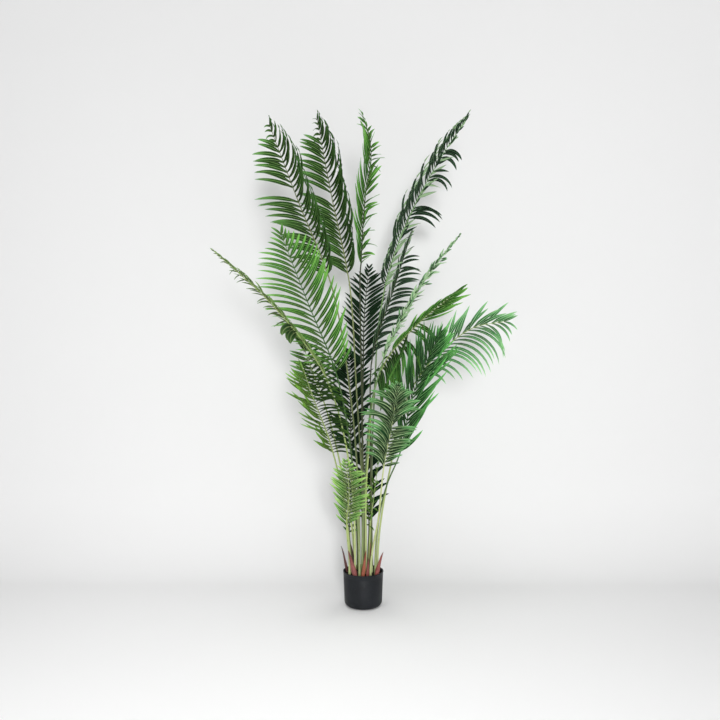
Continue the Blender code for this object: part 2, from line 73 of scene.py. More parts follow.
# the pot's wall carried down to the floor: its flat foot with the rounded edge added
FOOT_RADIUS = max(vert.co.xy.length for vert in POT_VERTS if vert.co.z < 0.5 * MM) + 18.0 * MM
JOINED = 0.01 * MM          # vertices nearer than this are one
FROND_NODES = sorted(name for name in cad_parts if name.startswith("frond_"))
SHEATH_NODES = sorted(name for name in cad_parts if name.startswith("sheath_"))


def linear(colour):
    """An sRGB hex colour as linear red, green and blue."""
    parts = (int(colour[index:index + 2], 16) / 255 for index in (1, 3, 5))
    return tuple(part / 12.92 if part <= 0.04045 else ((part + 0.055) / 1.055) ** 2.4 for part in parts)


# ------------------------------------------------------------------ settings

class PalmFoliage(bpy.types.PropertyGroup):
    """Sizes of the leaflets, midribs and stems."""
    leaf_thickness: FloatProperty(
        name="Leaf thickness", description="Thickness of a leaflet's blade", default=0.5 * MM, unit="LENGTH")
    leaf_keel: FloatProperty(
        name="Keel", description="How far a blade folds along its middle", default=math.radians(24),
        subtype="ANGLE")
    vein_spacing: FloatProperty(
        name="Vein spacing", description="Distance between the veins of a leaflet", default=1.9 * MM,
        unit="LENGTH")
    rib_radius: FloatProperty(
        name="Midrib radius", description="Radius of a midrib just above its neck", default=2.4 * MM,
        unit="LENGTH")
    rib_tip_radius: FloatProperty(
        name="Midrib tip radius", description="Radius of a midrib at its tip", default=0.8 * MM,
        unit="LENGTH")
    seed: IntProperty(name="Seed", description="Start of the leaflets' small differences", default=7)


class PalmPot(bpy.types.PropertyGroup):
    """Sizes of the pot and what lies in it."""
    wall: FloatProperty(
        name="Wall", description="Thickness of the pot's wall", default=2.5 * MM, unit="LENGTH")
    bead: FloatProperty(
        name="Bead", description="Height of the bead round the rim", default=4.0 * MM, unit="LENGTH")
    foot_round: FloatProperty(
        name="Foot round", description="Radius of the rounded lower edge", default=18.0 * MM, unit="LENGTH")
    clods: IntProperty(name="Clods", description="Crumbs of soil on the surface", default=170)
    stub: FloatProperty(
        name="Stub", description="Height of the cut stem above the soil", default=26.0 * MM, unit="LENGTH")


class PalmStage(bpy.types.PropertyGroup):
    """The floor, the lights and the camera."""
    floor: FloatVectorProperty(
        name="Floor", description="Colour of the floor and the backdrop", default=linear("#F1F1F1"),
        subtype="COLOR")
    distance: FloatProperty(
        name="Camera distance", description="From the pot's axis to the camera", default=3.0, unit="LENGTH")
    height: FloatProperty(
        name="Camera height", description="Height of the camera above the floor", default=1.05, unit="LENGTH")
    aim: FloatProperty(
        name="Aim height", description="Height that the camera looks at", default=0.905, unit="LENGTH")
    lens: FloatProperty(name="Lens", description="Focal length of the camera", default=41.24, unit="CAMERA")


# ------------------------------------------------------------------ reading the frame

def merged(node):
    """A bmesh copy of a frame node with its loose triangles joined."""
    build = bmesh.new()
    build.from_mesh(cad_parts[node].data)
    bmesh.ops.remove_doubles(build, verts=build.verts, dist=JOINED)
    return build


def mean(places):
    """The mean of some places."""
    return sum(places, Vector()) / len(places)


def middle_of(verts):
    """The mean place of some vertices."""
    return mean([vert.co for vert in verts])


def marks_along(places):
    """How far along a line each of its places is."""
    marks = [0.0]
    for before, after in zip(places, places[1:]):
        marks.append(marks[-1] + (after - before).length)
    return marks


def levels_of(node):
    """The vertices of a coarse lofted piece, one set for each of its rings, from its foot to its end."""
    build = merged(node)
    low = min(vert.co.z for vert in build.verts)
    ring = {vert for vert in build.verts if vert.co.z < low + 0.5 * MM}
    seen = set(ring)
    levels = []
    while ring:
        levels.append([vert.co.copy() for vert in ring])
        ring = {edge.other_vert(vert) for vert in ring for edge in vert.link_edges} - seen
        seen |= ring
    build.free()
    return levels


def stem_rings(node):
    """Centre and radius of each ring of a coarse stem, from its foot up."""
    rings = []
    for level in levels_of(node):
        centre = mean(level)
        rings.append((centre, sum((place - centre).length for place in level) / len(level)))
    return rings


Guide = namedtuple("Guide", "root bend tip")


def read_leaflets(node, neck):
    """Pairs of leaflet guides along a coarse frond, from the neck up, and the tip of its midrib."""
    build = merged(node)
    guides = []
    end = None
    for point in build.verts:
        belt = [edge.other_vert(point) for edge in point.link_edges]
        pull = sum(((vert.co - point.co).normalized() for vert in belt), Vector())
        if len(belt) != 4 or pull.length < 3.7:
            continue
        roots = {edge.other_vert(vert) for vert in belt for edge in vert.link_edges} - set(belt) - {point}
        if len(roots) != 4:
            end = point.co.copy()
            continue
        guides.append(Guide(middle_of(roots), middle_of(belt), point.co.copy()))
    build.free()
    guides.sort(key=lambda guide: (guide.root - neck).length)
    pairs = []
    for guide in guides:
        if pairs and (pairs[-1][0].root - guide.root).length < 6 * MM:
            pairs[-1].append(guide)
        else:
            pairs.append([guide])
    return pairs, end


Frond = namedtuple("Frond", "node stem line marks sides length")
Sample = namedtuple("Sample", "place root outward length")


def smooth_line(places, per_span):
    """Points along one smooth curve through the given places."""
    chords = [(after - before).length for before, after in zip(places, places[1:])]
    steps = [(after - before) / chord for before, after, chord in zip(places, places[1:], chords)]
    slopes = [steps[0]]
    for index in range(1, len(steps)):
        weight = chords[index] + chords[index - 1]
        slopes.append((steps[index - 1] * chords[index] + steps[index] * chords[index - 1]) / weight)
    slopes.append(steps[-1])
    points = [places[0]]
    for index, chord in enumerate(chords):
        first = places[index] + slopes[index] * chord / 3
        second = places[index + 1] - slopes[index + 1] * chord / 3
        points += interpolate_bezier(places[index], first, second, places[index + 1], per_span)[1:]
    return points


def read_frond(node):
    """Everything that the frame says about one frond and its stem."""
    rings = stem_rings(node.replace("frond", "stem"))
    neck = rings[-1][0]
    pairs, end = read_leaflets(node, neck)
    centres = [mean([guide.root for guide in pair]) for pair in pairs]
    line = [neck] + centres + [end]
    reach = marks_along(line)
    sides = ([], [])
    facing = None
    for index, pair in enumerate(pairs):
        outward = [(guide.bend - guide.root).normalized() for guide in pair]
        if facing is None:
            facing = outward[0]
        first = max(range(len(pair)), key=lambda which: outward[which].dot(facing))
        heading = (line[index + 2] - line[index]).normalized()
        for which, guide in enumerate(pair):
            side = 0 if which == first and (len(pair) == 2 or outward[which].dot(facing) > 0) else 1
            aside = guide.tip - guide.root
            aside = (aside - heading * aside.dot(heading)).normalized()
            sides[side].append(Sample(reach[index + 1] / reach[-1], guide.root - centres[index], aside,
                                      (guide.tip - guide.root).length))
            if side == 0:
                facing = outward[which]
    ordered = sorted(sides, key=lambda side: sum(sample.outward.x for sample in side) / len(side))
    return Frond(node, rings, line, reach, ordered, reach[-1])


def sampled(samples, place):
    """What the frame says about a leaflet at a place along a midrib, between the frame's own leaflets."""
    after = next((index for index, sample in enumerate(samples) if sample.place >= place), len(samples) - 1)
    first, second = samples[max(after - 1, 0)], samples[after]
    span = second.place - first.place
    share = min(max((place - first.place) / span, 0.0), 1.0) if span else 0.0
    return Sample(place, first.root.lerp(second.root, share),
                  first.outward.lerp(second.outward, share).normalized(),
                  first.length + (second.length - first.length) * share)


# ------------------------------------------------------------------ finished pieces

def finish_piece(name, build, materials, nodes):
    """Turn a bmesh into a named piece of the object with its materials, and hide the frame nodes that it
    replaces.
    """
    mesh = bpy.data.meshes.new(name)
    build.to_mesh(mesh)
    build.free()
    for material in materials:
        mesh.materials.append(material)
    mesh.shade_smooth()
    piece = bpy.data.objects.new(name, mesh)
    bpy.context.scene.collection.objects.link(piece)
    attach(piece, "root")
    if nodes:
        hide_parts(*nodes)
    return piece


# ------------------------------------------------------------------ material helpers

def add(tree, kind, inputs=(), out=0, stops=(), **settings):
    """Add one shader node with its settings, its colour stops and its inputs, which come in order or by name
    or number, each a value, a hex colour or the output that feeds it; returns one of the node's outputs."""
    node = tree.nodes.new("ShaderNode" + kind)
    for name, value in settings.items():
        setattr(node, name, value)
    for name, value in (inputs if isinstance(inputs, dict) else dict(enumerate(inputs))).items():
        if isinstance(value, bpy.types.NodeSocket):
            tree.links.new(value, node.inputs[name])
        else:
            node.inputs[name].default_value = (*linear(value), 1.0) if isinstance(value, str) else value
    if stops:
        band = node.color_ramp
        while len(band.elements) < len(stops):
            band.elements.new(0.5)
        for element, (position, colour) in zip(band.elements, stops):
            element.position = position
            element.color = (*linear(colour), 1.0)
    return node.outputs[out]


def new_material(name, roughness, specular, ior=1.46):
    """A Principled material; returns it with its tree and shader."""
    material = bpy.data.materials.new(name)
    material.use_nodes = True
    tree = material.node_tree
    shader = tree.nodes["Principled BSDF"]
    shader.inputs["Roughness"].default_value = roughness
    shader.inputs["Specular IOR Level"].default_value = specular
    shader.inputs["IOR"].default_value = ior
    return material, tree, shader


# ------------------------------------------------------------------ leaf materials

# For each shade: colour at the leaflet's root, its middle and its tip, its edge and its underside; the dark
# roots are partly painted shade where the leaflets crowd at the midrib.
Shade = namedtuple("Shade", "root middle tip edge under slot", defaults=("",))
SHADES = {
    "bright": Shade("#0C2A0A", "#27661C", "#7CC454", "#A4D874", "#5D9A4A"),
    "deep": Shade("#0C2008", "#274F18", "#6CAA58", "#8CB868", "#4A7240"),
    # painted shade: near black, for fronds that lie in shadow deep inside the palm
    "dark": Shade("#050C06", "#0A1A0A", "#163A1E", "#2E5A34", "#122A16"),
    # painted shade: a near-black top for fronds in shadow at the back; the pale mint underside is the leaf's
    # own colour
    "dusk": Shade("#060D07", "#0C1810", "#1E3C26", "#5E8460", "#A8C89A", "dark"),
    "lime": Shade("#0A2406", "#225410", "#8CCC48", "#B4DC70", "#6FA04A"),
    "olive": Shade("#122A0E", "#2C5424", "#86B85E", "#C6D894", "#86A860"),
    "frost": Shade("#0A1C0E", "#1E4426", "#7ABC78", "#A6D09A", "#C0E0B2", "mint"),
    "vivid": Shade("#03140A", "#124A1A", "#78D86A", "#98DC88", "#4E9A4C", "bright"),
    "mint": Shade("#163C1E", "#3B8044", "#98DC92", "#C0EAB2", "#B4D6A6"),
    "pale": Shade("#0E2C08", "#3A7A22", "#B4E87A", "#D4F0A0", "#A8CF72"),
    "broad": Shade("#04180A", "#17421F", "#5EAA60", "#C4E4A4", "#5E8A54", "deep"),
}


def leaf_material(name, shade, under, spacing):
    """Polyester leaf, printed, with painted shade: a woven cloth blade, heat-pressed so its veins stand up,
    with a soft satin sheen.  It runs from dark at the root, partly painted shade where the leaflets crowd at
    the midrib, to lighter at the tip; tone darkens whole sides towards the root colour as painted shade; the
    underside is paler and duller."""
    material, tree, shader = new_material(name, 0.5, 0.07)
    colours = SHADES[shade]
    along, offset, chance, tone = (add(tree, "Attribute", out="Fac", attribute_name=each)
                                   for each in ("along", "offset", "chance", "tone"))
    sideways = add(tree, "SeparateXYZ", (add(tree, "UVMap", uv_map="blade"),), "X")
    coords = add(tree, "TexCoord", out="Object")
    # about 45 mm across
    patches = add(tree, "TexNoise", {"Vector": coords, "Scale": 22.0, "Detail": 3.0, "Roughness": 0.55})
    # about 1 mm across
    weave = add(tree, "TexNoise", {"Vector": coords, "Scale": 900.0, "Detail": 1.0, "Roughness": 0.55})
    shift = add(tree, "Math", (patches, 0.5, -0.25), operation="MULTIPLY_ADD")
    place = add(tree, "Math", (along, shift), operation="ADD")
    shift = add(tree, "Math", (chance, 0.3, -0.15), operation="MULTIPLY_ADD")
    place = add(tree, "Math", (place, shift), operation="ADD")
    # the dark root colours are partly painted shade where the leaflets crowd at the midrib
    colour = add(tree, "ValToRGB", (place,),
                 stops=((0.14, colours.root), (0.54, colours.middle), (1.0, colours.tip)))
    waves = add(tree, "Math", (sideways, 2 * math.pi * MM / spacing), operation="MULTIPLY")
    waves = add(tree, "Math", (waves,), operation="SINE")
    veins = add(tree, "Math", (waves, 0.5, 0.5), operation="MULTIPLY_ADD")
    share = add(tree, "Math", (veins, 0.30), operation="MULTIPLY")
    colour = add(tree, "Mix", {0: share, 6: colour, 7: colours.root}, 2, data_type="RGBA")
    rim = add(tree, "Math", (offset,), operation="ABSOLUTE")
    edge = add(tree, "Math", (rim, 6.0), operation="POWER")
    edge = add(tree, "Math", (1.0, edge, 0.1), operation="SMOOTH_MIN")
    edge = add(tree, "Math", (edge, 0.45), operation="MULTIPLY")
    colour = add(tree, "Mix", {0: edge, 6: colour, 7: colours.edge}, 2, data_type="RGBA")
    centre = add(tree, "Math", (rim, 0.13), operation="LESS_THAN")
    centre = add(tree, "Math", (centre, 0.65), operation="MULTIPLY")
    colour = add(tree, "Mix", {0: centre, 6: colour, 7: colours.edge}, 2, data_type="RGBA")
    if under:
        colour = add(tree, "Mix", {0: 0.72, 6: colour, 7: colours.under}, 2, data_type="RGBA")
    # painted shade: tone darkens the leaflet towards its root colour
    colour = add(tree, "Mix", {0: tone, 6: colour, 7: colours.root}, 2, data_type="RGBA")
    rough = add(tree, "Math", (patches, 0.22, 0.52 if under else 0.34), operation="MULTIPLY_ADD")
    weave = add(tree, "Math", (weave, 0.5), operation="MULTIPLY")
    height = add(tree, "Math", (veins, weave), operation="ADD")
    tree.links.new(colour, shader.inputs["Base Color"])
    tree.links.new(rough, shader.inputs["Roughness"])
    bump = add(tree, "Bump", {"Strength": 0.35, "Distance": 0.25 * MM, "Height": height})
    tree.links.new(bump, shader.inputs["Normal"])
    return material


# ------------------------------------------------------------------ leaflets

# One side of a frond.  start and end are the angles in degrees between a leaflet and its midrib at its root
# and at its tip; reach is its length against the frame's; turn carries the side round the midrib; roll lays
# its blades over and twist turns them towards their tips; sag is how far they hang; wander is their disorder;
# tone darkens them towards their root colour, which is painted shade for a side that lies in shadow; over is
# the share of them that are turned over and broad is their width against the frond's.
Side = namedtuple("Side", "start end reach turn roll twist sag wander tone over broad")


def side(start, end, reach=1.2, turn=0, roll=0, twist=0, sag=0.04, wander=3, tone=0.0, over=0.0,
         broad=1.0):
    """A side with the usual values where none is given."""
    return Side(start, end, reach, turn, roll, twist, sag, wander, tone, over, broad)


# A stretch of one side (0 for left, 1 for right) that differs: from one share of the midrib to another.
Patch = namedtuple("Patch", "which first last side")

# How each frond looks: its shade, the width of its leaflets and the distance between them in millimetres,
# its rib's colours, its two sides, the one that points more to -X first, the stretches that differ, and how
# many millimetres below the neck its leaflets start.
Look = namedtuple("Look", "shade width pitch rib left right patches below")


def look(shade, width, pitch, rib, left, right, *patches, below=0):
    """A frond's look, with any stretches that differ."""
    return Look(shade, width, pitch, rib, left, right, [Patch(*patch) for patch in patches], below)


# leaflets that curl right over
CURLED = side(50, 190, 0.8, 0, 20, 60, 0.0, 14)
LOOKS = {
    "frond_01": look(
        "deep", 16.5, 18, "olive", side(42, 70, 1.2), side(68, -20, 1.45, 30, 12, 20, 0.02, 4, 0.25),
        (0, 0.86, 1.0, CURLED), (0, 0.52, 0.60, None), (0, 0.43, 0.52, side(40, 62, 1.3, wander=9))),
    "frond_02": look(
        "deep", 16.5, 18, "olive", side(40, 62, 1.3), side(68, -22, 1.6, 30, 10, 20, 0.02, 4, 0.4),
        (0, 0.86, 1.0, CURLED), (0, 0.46, 0.52, None)),
    "frond_03": look(
        "bright", 15.0, 15, "shaded", side(44, 6, 1.35, -40, 10), side(36, 50, 0.7, -20, 30, 60, 0.0, 20),
        (1, 0.08, 0.16, side(45, 85, 0.9, -20, 10, 20, 0.05, 14)),
        (1, 0.48, 0.56, side(40, 60, 1.0, -20, 10, 20, 0.05, 14)),
        (0, 0.84, 1.0, side(20, 50, 1.3, -50, 10, 40, 0.1, 10))),
    "frond_04": look(
        "dusk", 10.0, 14, "mint", side(52, -28, 1.2, -30, 0, 0, 0.0, 4),
        side(20, 20, 0.7, -60, 180, 60, 0.05, 16, 0.0, 0.3, 1.3),
        (1, 0.38, 0.47, side(45, 95, 1.3, -70, 0, 10, 0.10, 5, broad=1.6)),
        (1, 0.60, 0.65, side(30, 120, 1.1, -70, 0, 10, 0.10, 5, broad=1.4)),
        (1, 0.74, 0.80, side(40, 110, 1.0, -70, 0, 10, 0.20, 8, broad=1.6))),
    "frond_05": look(
        "dusk", 13.5, 20, "shaded", side(24, 6, 1.0, 0, 20), side(34, 84, 1.05, 0, 0, 10, 0.0, 4),
        (1, 0.78, 1.0, side(30, 40, 0.7, 0, 180, 90, 0.0, 20))),
    "frond_06": look(
        "frost", 15.0, 10, "mint", side(26, -10, 0.46, 45, 10, 60, 0.0, 14, over=0.5),
        side(28, 20, 0.44, 60, 20, 60, 0.0, 20, over=0.5)),
    "frond_07": look("dark", 14.5, 20, "shaded", side(44, 40, 1.3), side(44, 40, 1.3)),
    "frond_08": look(
        "bright", 14.5, 21, "green", side(34, 66, 1.62, -15, wander=2, broad=0.8),
        side(60, 32, 1.62, wander=2, broad=1.05)),
    "frond_09": look(
        "olive", 12.0, 13, "pale", side(26, 56, 0.5, -45, 10, 20, 0.0, 16, 0.4, broad=0.6),
        side(26, -16, 0.9, -80, 20, 60, 0.0, 5, 0.0, 0.3, 0.7),
        (0, 0.33, 0.40, side(50, 150, 0.5, -45, 0, 60, 0.1, 8, 0.6, 0, 3.4))),
    "frond_10": look(
        "lime", 10.5, 12, "pale", side(38, 10, 1.3, wander=7, broad=0.85),
        side(66, 138, 1.35, 0, 30, 20, 0.05, 6, 0.8, 0, 0.62), below=70),
    "frond_11": look(
        "bright", 15.0, 14, "pale", side(28, 8, 1.0, 60), side(70, 106, 1.9, 0, 0, 0, 0.15, 5),
        (1, -1.0, 0.36, side(96, 134, 2.5, 0, 0, 20, 0.1, 11, 0.55, 0, 1.2)),
        (1, 0.5, 0.8, side(40, 14, 1.3, 0, 0, 0, 0.0, 5)), (1, 0.8, 1.0, side(30, 10, 1.6, 0, 0, 0, 0.0, 5)),
        (0, -1.0, 0.1, side(70, 150, 2.0, 0, 0, 20, 0.1, 12, 0.4)), below=90),
    "frond_12": look(
        "mint", 12.0, 21, "pale", side(38, 22, 1.7, 0, 20, 40, 0, 8, broad=1.3),
        side(28, 106, 1.7, 0, 10, 0, 0.05), (0, 0.8, 1.0, side(50, 36, 2.3, 0, 20, 20, 0, 8, broad=1.2))),
    "frond_13": look(
        "vivid", 14.0, 16, "green", side(28, 20, 1.7, wander=7, tone=0.5, broad=0.8),
        side(36, 14, 1.75, wander=5, broad=1.2)),
    "frond_14": look(
        "broad", 22.0, 16, "cream", side(12, 92, 1.6, wander=6), side(66, 76, 0.95, wander=5),
        (0, 0.7, 1.0, side(6, 70, 1.6, wander=8)), (1, 0.5, 1.0, side(22, 66, 1.3, wander=6))),
    "frond_15": look("pale", 15.0, 17, "pale", side(44, 36, 1.25), side(48, 66, 1.2)),
    "frond_16": look("dark", 18.0, 16, "shaded", side(48, 40, 1.4, wander=9), side(48, 40, 1.4, wander=9)),
    "frond_17": look(
        "lime", 10.0, 20, "pale", side(50, 80, 1.1, 0, 20, 30, 0.1, 14),
        side(50, 80, 1.1, 0, 20, 30, 0.1, 14)),
    "frond_18": look("dark", 17.0, 15, "shaded", side(48, 56, 1.3, wander=9), side(48, 56, 1.3, wander=9)),
    "frond_19": look("deep", 14.0, 18, "shaded", side(52, 50, 0.7, tone=0.4), side(56, 76, 0.8)),
    "frond_20": look(
        "deep", 13.0, 18, "pale", side(50, 44, 1.1), side(62, 96, 1.3, tone=0.6),
        (0, 0.84, 1.0, side(16, 60, 2.2, 0, 10, 20, 0.0, 8, broad=2.4))),
}
BLADE_ROWS = 9              # quads along a leaflet
BLADE_COLUMNS = 4           # quads across a leaflet
STEPS_PER_ROW = 3           # bends worked out between two rows of a leaflet
TIP_PLACE = 0.80            # share of a midrib past which its leaflets close towards it


def blade_width(share):
    """Half-width of a leaflet at a share of its length, against its widest half-width."""
    rise = min(share / 0.3, 1.0)
    rise = 0.36 + 0.64 * rise * rise * (3 - 2 * rise)
    return rise * (1.0 - share ** 2.6) ** 0.8


def spun(vector, axis, angle):
    """A vector turned about an axis."""
    return Matrix.Rotation(angle, 3, axis) @ vector


def blade_line(root, heading, outward, length, turns, sag):
    """A leaflet's middle line: it turns from its first angle to its last and hangs towards its tip."""
    steps = BLADE_ROWS * STEPS_PER_ROW
    line = [root]
    point = root
    for step in range(steps):
        share = (step + 0.5) / steps
        angle = turns[0] + (turns[1] - turns[0]) * share
        ahead = heading * math.cos(angle) + outward * math.sin(angle) - UP * sag * 3 * share
        point = point + ahead.normalized() * (length / steps)
        if (step + 1) % STEPS_PER_ROW == 0:
            line.append(point)
    return line


def add_blade(build, layers, root, heading, sample, look, hand, flip, foliage, chance):
    """Grow one leaflet: a bent, keeled, slightly twisted blade."""
    near_tip = max(sample.place - TIP_PLACE, 0.0) / (1.0 - TIP_PLACE)
    length = sample.length * hand.reach * chance.uniform(0.93, 1.07) * (1.0 - 0.55 * near_tip)
    drift = math.radians(chance.gauss(0.0, hand.wander))
    turns = (math.radians(hand.start) + drift, math.radians(hand.end) + drift * 1.5)
    turns = [angle * (1.0 - 0.5 * near_tip) for angle in turns]
    outward = spun(sample.outward, heading, math.radians(hand.turn + chance.gauss(0.0, hand.wander)))
    line = blade_line(root, heading, outward, length, turns, hand.sag * chance.uniform(0.6, 1.5))
    half = look.width * hand.broad * MM / 2 * min(1.0, 0.45 + length / (150 * MM)) * chance.uniform(0.9, 1.08)
    roll = math.radians(hand.roll + chance.gauss(0.0, hand.wander * 1.5))
    twist = math.radians(hand.twist * chance.uniform(0.2, 1.5))
    luck = chance.random()
    if chance.random() < hand.over:
        roll += math.pi
    grid = bmesh.ops.create_grid(build, x_segments=BLADE_COLUMNS, y_segments=BLADE_ROWS, size=0.5)
    along_layer, offset_layer, chance_layer, painted_shade_layer, uv_layer = layers
    faces = {face for vert in grid["verts"] for face in vert.link_faces}
    for vert in grid["verts"]:
        offset = vert.co.x * 2
        row = round((vert.co.y + 0.5) * BLADE_ROWS)
        share = row / BLADE_ROWS
        ahead = (line[min(row + 1, BLADE_ROWS)] - line[max(row - 1, 0)]).normalized()
        across = flip * (heading - ahead * heading.dot(ahead)).normalized()
        across = spun(across, ahead, flip * (roll + twist * share))
        rise = across.cross(ahead)
        reach = half * blade_width(share) if row < BLADE_ROWS else 0.0
        keel = foliage.leaf_keel * (1.0 - 0.5 * share)
        vert[along_layer] = share
        vert[offset_layer] = offset
        vert[chance_layer] = luck
        vert[painted_shade_layer] = hand.tone
        vert.co = (line[row] + across * offset * reach * math.cos(keel)
                   + rise * abs(offset) * reach * math.sin(keel))
    for face in faces:
        for loop in face.loops:
            loop[uv_layer].uv = (loop.vert[offset_layer] * half / MM, loop.vert[along_layer] * length / MM)
    tips = [vert for vert in grid["verts"] if vert[along_layer] > 0.999]
    bmesh.ops.remove_doubles(build, verts=tips, dist=JOINED)


def make_leaflets(frond, look, foliage, materials):
    """All leaflets of a frond as one piece."""
    build = bmesh.new()
    floats = build.verts.layers.float
    layers = [floats.new(name) for name in ("along", "offset", "chance", "tone")]
    layers.append(build.loops.layers.uv.new("blade"))
    chance = random.Random(f"{foliage.seed} {frond.node}")
    for which, (samples, usual) in enumerate(zip(frond.sides, (look.left, look.right))):
        first, last = samples[0].place - look.below * MM / frond.length, 0.985
        count = round((last - first) * frond.length / (look.pitch * MM))
        for index in range(count + 1):
            place = first + (last - first) * index / count
            sample = sampled(samples, place)
            hand = usual
            for patch in look.patches:
                if patch.which == which and patch.first <= place < patch.last:
                    hand = patch.side
            if hand is None:
                continue
            centre, heading = along_line(frond, place * frond.length)
            add_blade(build, layers, centre + sample.root * 0.6, heading, sample, look, hand, 1 - 2 * which,
                      foliage, chance)
    name = frond.node.replace("frond", "leaflets")
    piece = finish_piece(name, build, materials, [frond.node])
    shell = piece.modifiers.new("Thickness", "SOLIDIFY")
    shell.thickness = foliage.leaf_thickness
    shell.offset = 0.0
    shell.material_offset = 1
    shell.material_offset_rim = 1
    return piece


def along_line(frond, distance):
    """The place and the heading of a frond's midrib at a distance from its neck."""
    index = 0
    while index < len(frond.marks) - 2 and frond.marks[index + 1] < distance:
        index += 1
    share = (distance - frond.marks[index]) / (frond.marks[index + 1] - frond.marks[index])
    before = frond.line[max(index - 1, 0)]
    after = frond.line[min(index + 2, len(frond.line) - 1)]
    return frond.line[index].lerp(frond.line[index + 1], share), (after - before).normalized()


# ------------------------------------------------------------------ stems and midribs

# colours of each stem and midrib at its foot, low down, at its neck and at its tip; where a set turns darker
# low down or at its neck, and in the whole shaded set, that is painted shade for stems inside the crowd of
# fronds
RIBS = {
    "green": ("#B9C48A", "#4C6632", "#2F6426", "#2C6B2A"),
    "olive": ("#B4BF86", "#59663A", "#98A268", "#4A5A30"),
    "shaded": ("#8A9660", "#39431F", "#262F16", "#26401E"),
    "cream": ("#C3CC96", "#B4C07E", "#D2DAA2", "#C8D694"),
    "pale": ("#C3CC96", "#A9BA72", "#93A862", "#9DB36A"),
    "mint": ("#A8B57E", "#53693A", "#7FA868", "#9CCB90"),
}
STEM_SIDES = 10
STEM_STEP = 12 * MM         # length of one section of a stem
STEM_FLARE = 0.35           # how much wider a stem is at its foot
FLARE_HEIGHT = 20 * MM


def stem_material(name, rib):
    """Extruded polyethylene stem over a steel wire: smooth and slightly waxy, pale yellow-green at its
    foot and greener above, with faint fibre lines and a few darker scuffs.  Where it turns darker low down or
    at its neck, that is painted shade for a stem inside the crowd of fronds."""
    material, tree, shader = new_material(name, 0.42, 0.45)
    along = add(tree, "Attribute", out="Fac", attribute_name="along")
    foot, low, neck, tip = RIBS[rib]
    colour = add(tree, "ValToRGB", (along,), stops=((0.0, foot), (0.3, low), (0.62, neck), (1.0, tip)))
    coords = add(tree, "TexCoord", out="Object")
    stretched = add(tree, "Mapping", {"Vector": coords, "Scale": (700.0, 700.0, 26.0)})
    fibres = add(tree, "TexNoise", {"Vector": stretched, "Scale": 1.0, "Detail": 3.0})
    share = add(tree, "Math", (fibres, 0.55), operation="MULTIPLY")
    colour = add(tree, "Mix", {0: share, 6: colour, 7: low}, 2, data_type="RGBA")
    # about 18 mm across
    scuffs = add(tree, "TexNoise", {"Vector": coords, "Scale": 55.0, "Detail": 5.0, "Roughness": 0.7})
    scuffs = add(tree, "Math", (scuffs, 0.63), operation="GREATER_THAN")
    share = add(tree, "Math", (scuffs, 0.4), operation="MULTIPLY")
    colour = add(tree, "Mix", {0: share, 6: colour, 7: "#5E6B33"}, 2, data_type="RGBA")
    rough = add(tree, "Math", (fibres, 0.25, 0.32), operation="MULTIPLY_ADD")
    tree.links.new(colour, shader.inputs["Base Color"])
    tree.links.new(rough, shader.inputs["Roughness"])
    bump = add(tree, "Bump", {"Strength": 0.4, "Distance": 0.3 * MM, "Height": fibres})
    tree.links.new(bump, shader.inputs["Normal"])
    return material


def make_stem(frond, look, foliage, material):
    """A stem and the midrib that it becomes, as one tapered tube."""
    stem = [ring[0] for ring in frond.stem]
    radii = [ring[1] for ring in frond.stem]
    reach = marks_along(stem)
    line = smooth_line(stem + frond.line[1:], 4)
    total = reach[-1] + frond.length
    points = [line[0]]
    distances = [0.0]
    run = 0.0
    for before, after in zip(line, line[1:]):
        run += (after - before).length
        if run - distances[-1] > STEM_STEP * 0.6 or after is line[-1]:
            points.append(after)
            distances.append(run)
    build = bmesh.new()
    along_layer = build.verts.layers.float.new("along")
    sideways = Vector((1.0, 0.0, 0.0))
    bmesh.ops.create_circle(build, cap_ends=True, segments=STEM_SIDES, radius=1.0)
    for index, (point, distance) in enumerate(zip(points, distances)):
        ahead = (points[min(index + 1, len(points) - 1)] - points[max(index - 1, 0)]).normalized()
        if index == 0:
            ahead = UP
        sideways = (sideways - ahead * sideways.dot(ahead)).normalized()
        other = ahead.cross(sideways)
        radius = tube_radius(distance, reach, radii, frond, foliage, total)
        if index:
            face = bmesh.ops.extrude_discrete_faces(build, faces=[face])["faces"][0]
        else:
            build.faces.ensure_lookup_table()
            face = build.faces[0]
            if face.normal.z < 0:
                face.normal_flip()
        for step, vert in enumerate([loop.vert for loop in face.loops]):
            turn = 2 * math.pi * step / STEM_SIDES
            vert.co = point + (sideways * math.cos(turn) + other * math.sin(turn)) * radius
            vert[along_layer] = distance / total
    bottom = [vert for vert in build.verts if vert[along_layer] == 0.0]
    bmesh.ops.contextual_create(build, geom=bottom)
    bmesh.ops.recalc_face_normals(build, faces=build.faces)
    number = frond.node.replace("frond_", "")
    return finish_piece("stem_and_midrib_" + number, build, [material], ["stem_" + number])


def tube_radius(distance, reach, radii, frond, foliage, total):
    """Radius of the tube: the frame's along the stem, then a taper along the midrib."""
    flare = 1.0 + STEM_FLARE * math.exp(-distance / FLARE_HEIGHT)
    if distance < reach[-1]:
        index = 0
        while reach[index + 1] < distance:
            index += 1
        share = (distance - reach[index]) / (reach[index + 1] - reach[index])
        return (radii[index] * (1 - share) + radii[index + 1] * share) * 0.92 * flare
    share = (distance - reach[-1]) / frond.length
    return foliage.rib_radius + (foliage.rib_tip_radius - foliage.rib_radius) * share


